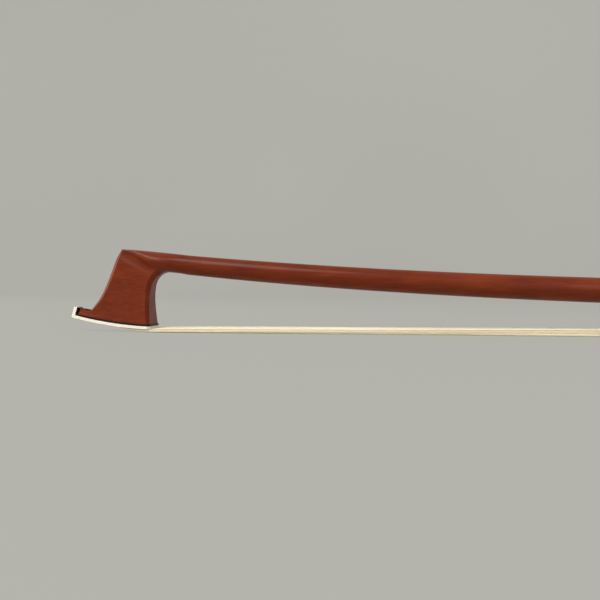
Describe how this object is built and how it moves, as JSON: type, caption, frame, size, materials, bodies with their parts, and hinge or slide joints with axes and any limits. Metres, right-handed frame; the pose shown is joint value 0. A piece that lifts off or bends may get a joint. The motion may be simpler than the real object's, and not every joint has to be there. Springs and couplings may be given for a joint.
{
  "type": "viola bow",
  "caption": "Viola bow with a cambered stick, carved head, hair ribbon and a frog that a screw button draws along the octagonal handle.",
  "frame": {"origin": "centre of the bounding box, on the surface that the hair at the head and the ferrule rest on", "axes": "+X from the head to the screw button, +Y across the bow, +Z from the hair to the stick"},
  "size_m": [0.7422, 0.0142, 0.0297],
  "materials": {
    "pernambuco": "semi-gloss varnish, red-brown",
    "ebony": "oiled, satin",
    "maple": "bare wood",
    "tip_plate": "polished bone, ivory white",
    "horsehair": "natural white horsehair, soft sheen",
    "thread": "waxed thread",
    "lapping": "wound silver wire",
    "leather": "fine-grained dark leather",
    "silver": "polished silver with light handling wear",
    "pearl": "polished mother-of-pearl",
    "brass": "machined",
    "steel": "machined"
  },
  "bodies": {
    "stick_body": {"stick": "pernambuco", "tip_liner": "ebony", "tip_plate": "tip_plate", "tip_plug": "maple", "tip_knot": "thread", "hair": "horsehair", "lapping": "lapping", "thumb_leather": "leather"},
    "frog_body": {"frog_block": "ebony", "ferrule": "silver", "ferrule_wedge": "maple", "frog_plug": "maple", "frog_knot": "thread", "slide_backing": "ebony", "slide_pearl": "pearl", "heel_plate": "silver", "heel_pin_upper": "silver", "heel_pin_lower": "silver", "heel_pin_foot": "silver", "underslide": "silver", "underslide_screw_front": "silver", "underslide_screw_rear": "silver", "eyelet": "brass", "eye_left": "pearl", "eye_right": "pearl", "eye_ring_left": "silver", "eye_ring_right": "silver"},
    "screw_body": {"screw": "steel", "button_core": "ebony", "button_ring_front": "silver", "button_ring_rear": "silver", "button_eye": "pearl", "button_pin_front": "silver", "button_pin_rear": "silver"}
  },
  "joints": [
    {"name": "screw_turn", "type": "hinge", "parent": "stick_body", "child": "screw_body", "pos_m": [0.3565, 0, 0.02474], "axis": [-0.999, 0, -0.0437], "range_deg": [-2700, 1440]},
    {"name": "frog_slide", "type": "slide", "parent": "stick_body", "child": "frog_body", "axis": [0.999, 0, 0.0437], "range_m": [-0.00476, 0.00253], "deforming": ["hair"]}
  ],
  "couplings": [
    {"joint": "screw_turn", "follows": "frog_slide", "rad_per_m": 9894.8}
  ]
}
